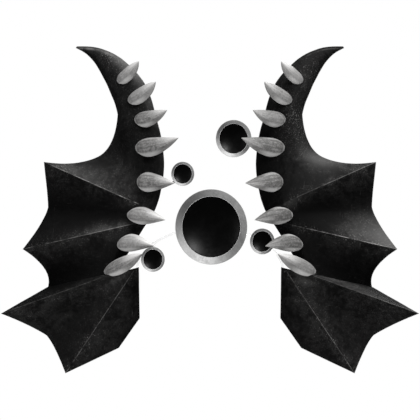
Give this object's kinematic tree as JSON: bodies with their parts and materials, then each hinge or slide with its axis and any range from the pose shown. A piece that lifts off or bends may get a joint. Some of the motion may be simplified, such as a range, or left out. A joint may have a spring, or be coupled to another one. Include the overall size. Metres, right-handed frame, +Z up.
{
  "type": "devil horns headpiece",
  "caption": "Worn pair of black bat-wing devil horns with pleated wings, silver claws along each horn and silver-rimmed black dishes between them, carried on a thin clear circlet.",
  "frame": {"origin": "inner side of the wire at the middle of the brow, where it rests on the head", "axes": "+X to the viewer's right, +Y from the front into the head, +Z up"},
  "size_m": [0.439, 0.1442, 0.3433],
  "materials": {
    "horn": "near-black painted moulding, mottled and rubbed pale along the folds",
    "claw": "worn silver-grey, smudged darker in the middle and pale along the upper edge",
    "rim": "satin grey metal",
    "bowl": "near-black, smooth",
    "wire": "plain clear plastic wire"
  },
  "bodies": {
    "root": {"left_horn": "horn", "right_horn": "horn", "left_lower_wing": "horn", "right_lower_wing": "horn", "left_spike_1": "claw", "left_spike_2": "claw", "left_spike_3": "claw", "left_spike_4": "claw", "left_spike_5": "claw", "left_spike_6": "claw", "left_spike_7": "claw", "left_spike_8": "claw", "right_spike_1": "claw", "right_spike_2": "claw", "right_spike_3": "claw", "right_spike_4": "claw", "right_spike_5": "claw", "right_spike_6": "claw", "right_spike_7": "claw", "right_spike_8": "claw", "rim_centre": "rim", "rim_upper": "rim", "rim_side": "rim", "rim_low_left": "rim", "rim_low_right": "rim", "dish_centre": "bowl", "dish_upper": "bowl", "dish_side": "bowl", "dish_low_left": "bowl", "dish_low_right": "bowl", "circlet": "wire"}
  },
  "joints": []
}
